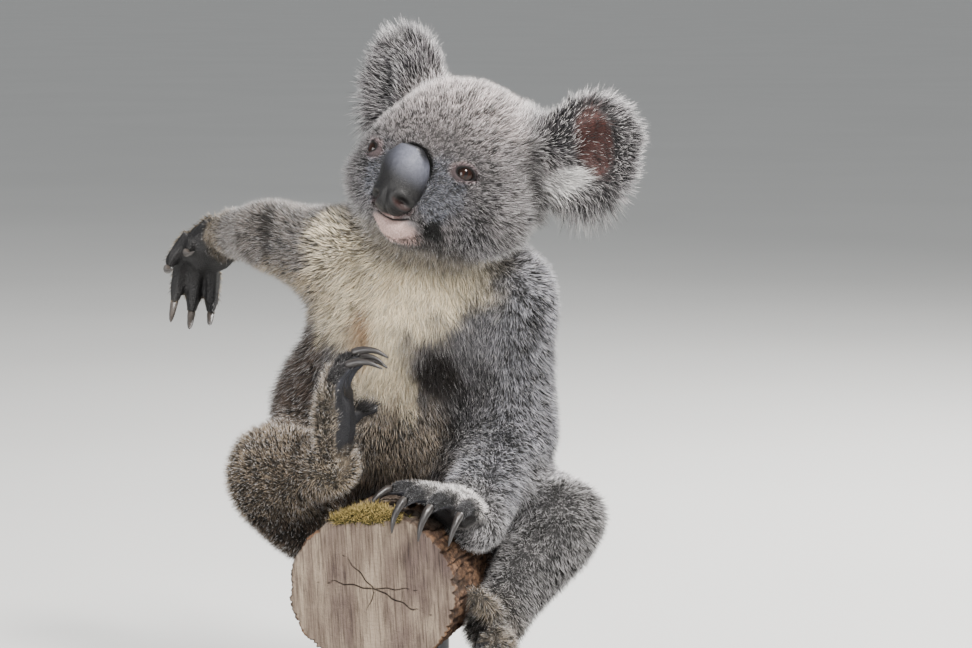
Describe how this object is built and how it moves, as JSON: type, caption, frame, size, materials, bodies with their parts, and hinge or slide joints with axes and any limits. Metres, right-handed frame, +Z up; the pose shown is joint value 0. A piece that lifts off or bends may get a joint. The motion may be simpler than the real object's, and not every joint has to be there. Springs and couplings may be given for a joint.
{
  "type": "koala",
  "caption": "Life-size koala seated astride a cut length of log, one hind foot raised and one arm reaching out behind, on a flat display stand with rods",
  "frame": {"origin": "centre of the underside of the stand's flat base, which lies on the floor", "axes": "+Z up, -Y the way the animal's chest faces, +X to the animal's left"},
  "size_m": [0.4032, 0.3756, 0.6073],
  "materials": {
    "grey_fur": "dense grey grizzled fur",
    "pale_fur": "soft cream chest fur",
    "brown_fur": "coarse brown belly and flank fur",
    "paw_skin": "bare dark granular skin",
    "nose_skin": "dark leathery nose pad",
    "horn": "dark polished horn",
    "eyeball": "wet dark brown eye",
    "wood": "weathered log with bark and sawn ends",
    "stand_paint": "satin charcoal paint"
  },
  "bodies": {
    "root": {"stand_base": "stand_paint", "stand_rod_front": "stand_paint", "stand_rod_rear": "stand_paint", "log": "wood", "left_hand_claw_1": "horn", "left_hand_claw_2": "horn", "left_hand_claw_3": "horn", "left_hand_claw_4": "horn", "left_hand_claw_5": "horn", "left_hand": "paw_skin", "right_hand_claw_1": "horn", "right_hand_claw_2": "horn", "right_hand_claw_3": "horn", "right_hand_claw_4": "horn", "right_hand_claw_5": "horn", "right_hand": "paw_skin", "left_foot_claw_2": "horn", "left_foot_claw_3": "horn", "left_foot_claw_4": "horn", "left_foot_claw_5": "horn", "left_foot": "paw_skin", "right_foot_claw_2": "horn", "right_foot_claw_3": "horn", "right_foot_claw_4": "horn", "right_foot_claw_5": "horn", "right_foot": "paw_skin", "left_eye": "eyeball", "right_eye": "eyeball", "nose": "nose_skin", "head": "grey_fur", "left_ear": "grey_fur", "right_ear": "grey_fur", "left_forearm": "grey_fur", "left_upper_arm": "grey_fur", "right_forearm": "grey_fur", "right_upper_arm": "grey_fur", "left_shin": "grey_fur", "left_thigh": "grey_fur", "right_shin": "grey_fur", "right_thigh": "grey_fur", "neck": "pale_fur", "chest": "pale_fur", "belly": "brown_fur", "rump": "brown_fur"}
  },
  "joints": []
}
